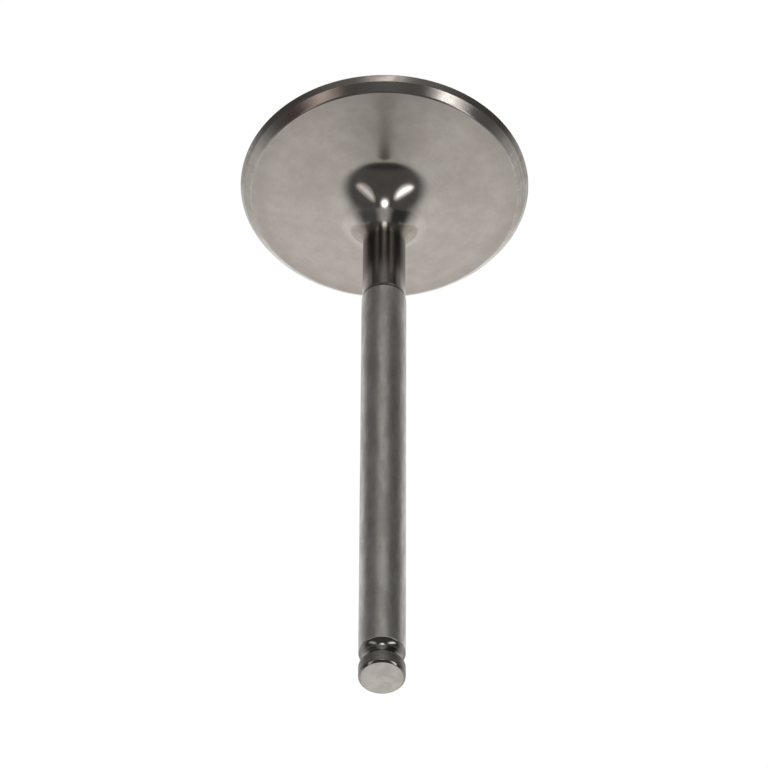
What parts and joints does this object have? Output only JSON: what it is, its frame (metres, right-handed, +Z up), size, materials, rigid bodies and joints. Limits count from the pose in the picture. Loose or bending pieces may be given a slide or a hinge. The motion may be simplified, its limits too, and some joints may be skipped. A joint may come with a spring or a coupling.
{
  "type": "engine valve",
  "caption": "Intake poppet valve with a wide thin head, a ground conical seat, a waisted neck and a straight stem with a round keeper groove near its tip.",
  "frame": {"origin": "centre of the combustion face, where the valve stands on its head", "axes": "+Z runs up the stem's axis from the combustion face to the tip"},
  "size_m": [0.052, 0.052, 0.127],
  "materials": {
    "valve_steel": "turned and satin on the back of the head, ground on the seat, stem and tip, polished in the neck and groove"
  },
  "bodies": {
    "root": {"valve": "valve_steel"}
  },
  "joints": []
}
